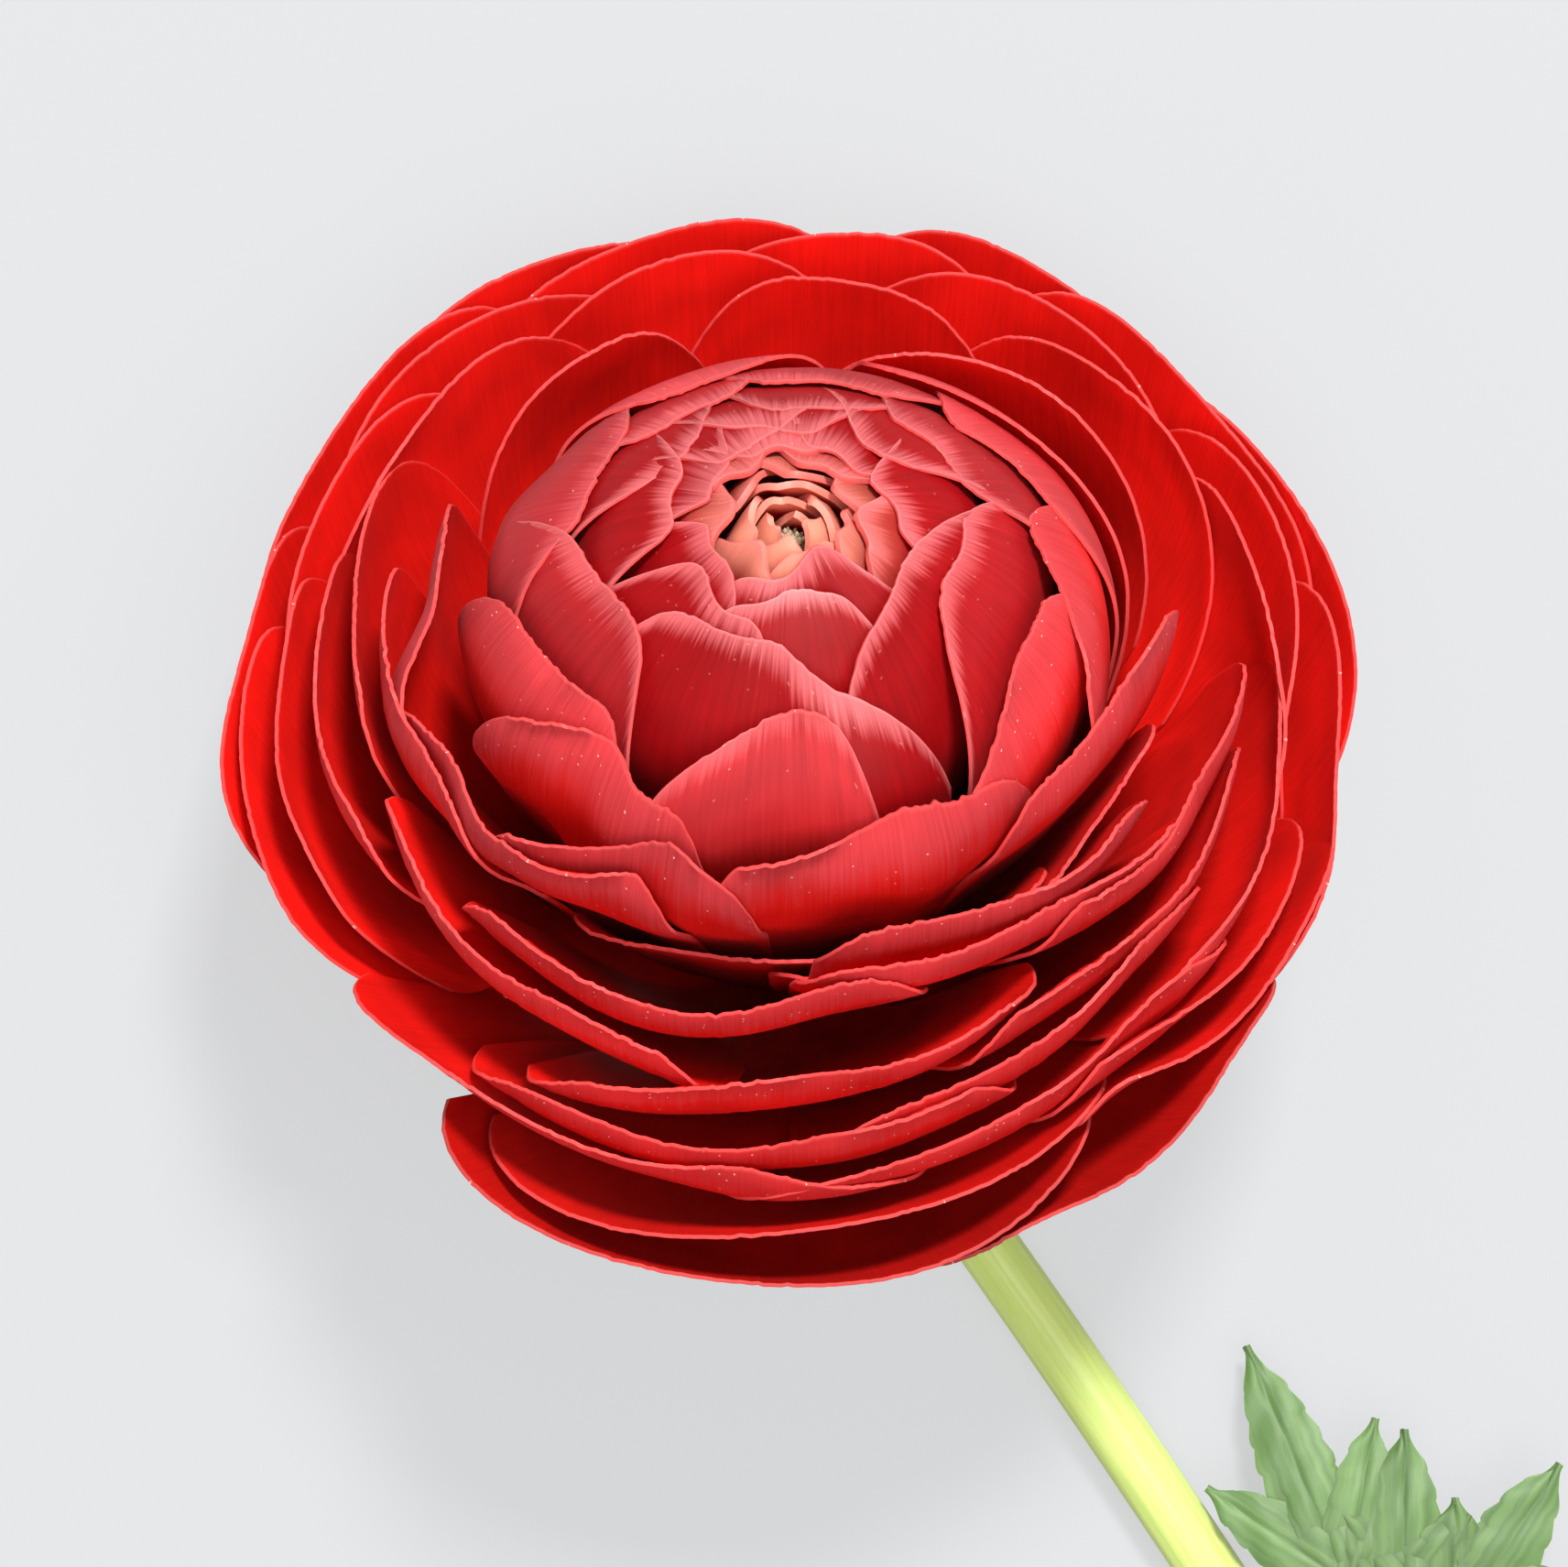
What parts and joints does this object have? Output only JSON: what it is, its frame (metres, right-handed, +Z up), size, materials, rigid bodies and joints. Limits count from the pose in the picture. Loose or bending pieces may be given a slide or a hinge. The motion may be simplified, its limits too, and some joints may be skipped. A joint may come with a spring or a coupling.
{
  "type": "persian buttercup flower",
  "caption": "Cut double ranunculus bloom of many nested petals, lying on its back petals and its long round stem, with a divided leaf.",
  "frame": {"origin": "bottom centre of the flower's bounding box, on the surface that it lies on", "axes": "+Z up from the surface, +Y along the flower from the stem's cut end towards the bloom, +X to the side on which the stem's cut end and the leaf lie"},
  "size_m": [0.1146, 0.173, 0.0501],
  "materials": {
    "petals": "satin",
    "heart": "matte",
    "sepals": "matte",
    "stem": "satin",
    "leaf": "matte"
  },
  "bodies": {
    "root": {"bloom": "petals", "heart": "heart", "sepals": "sepals", "stem": "stem", "leaf": "leaf"}
  },
  "joints": []
}
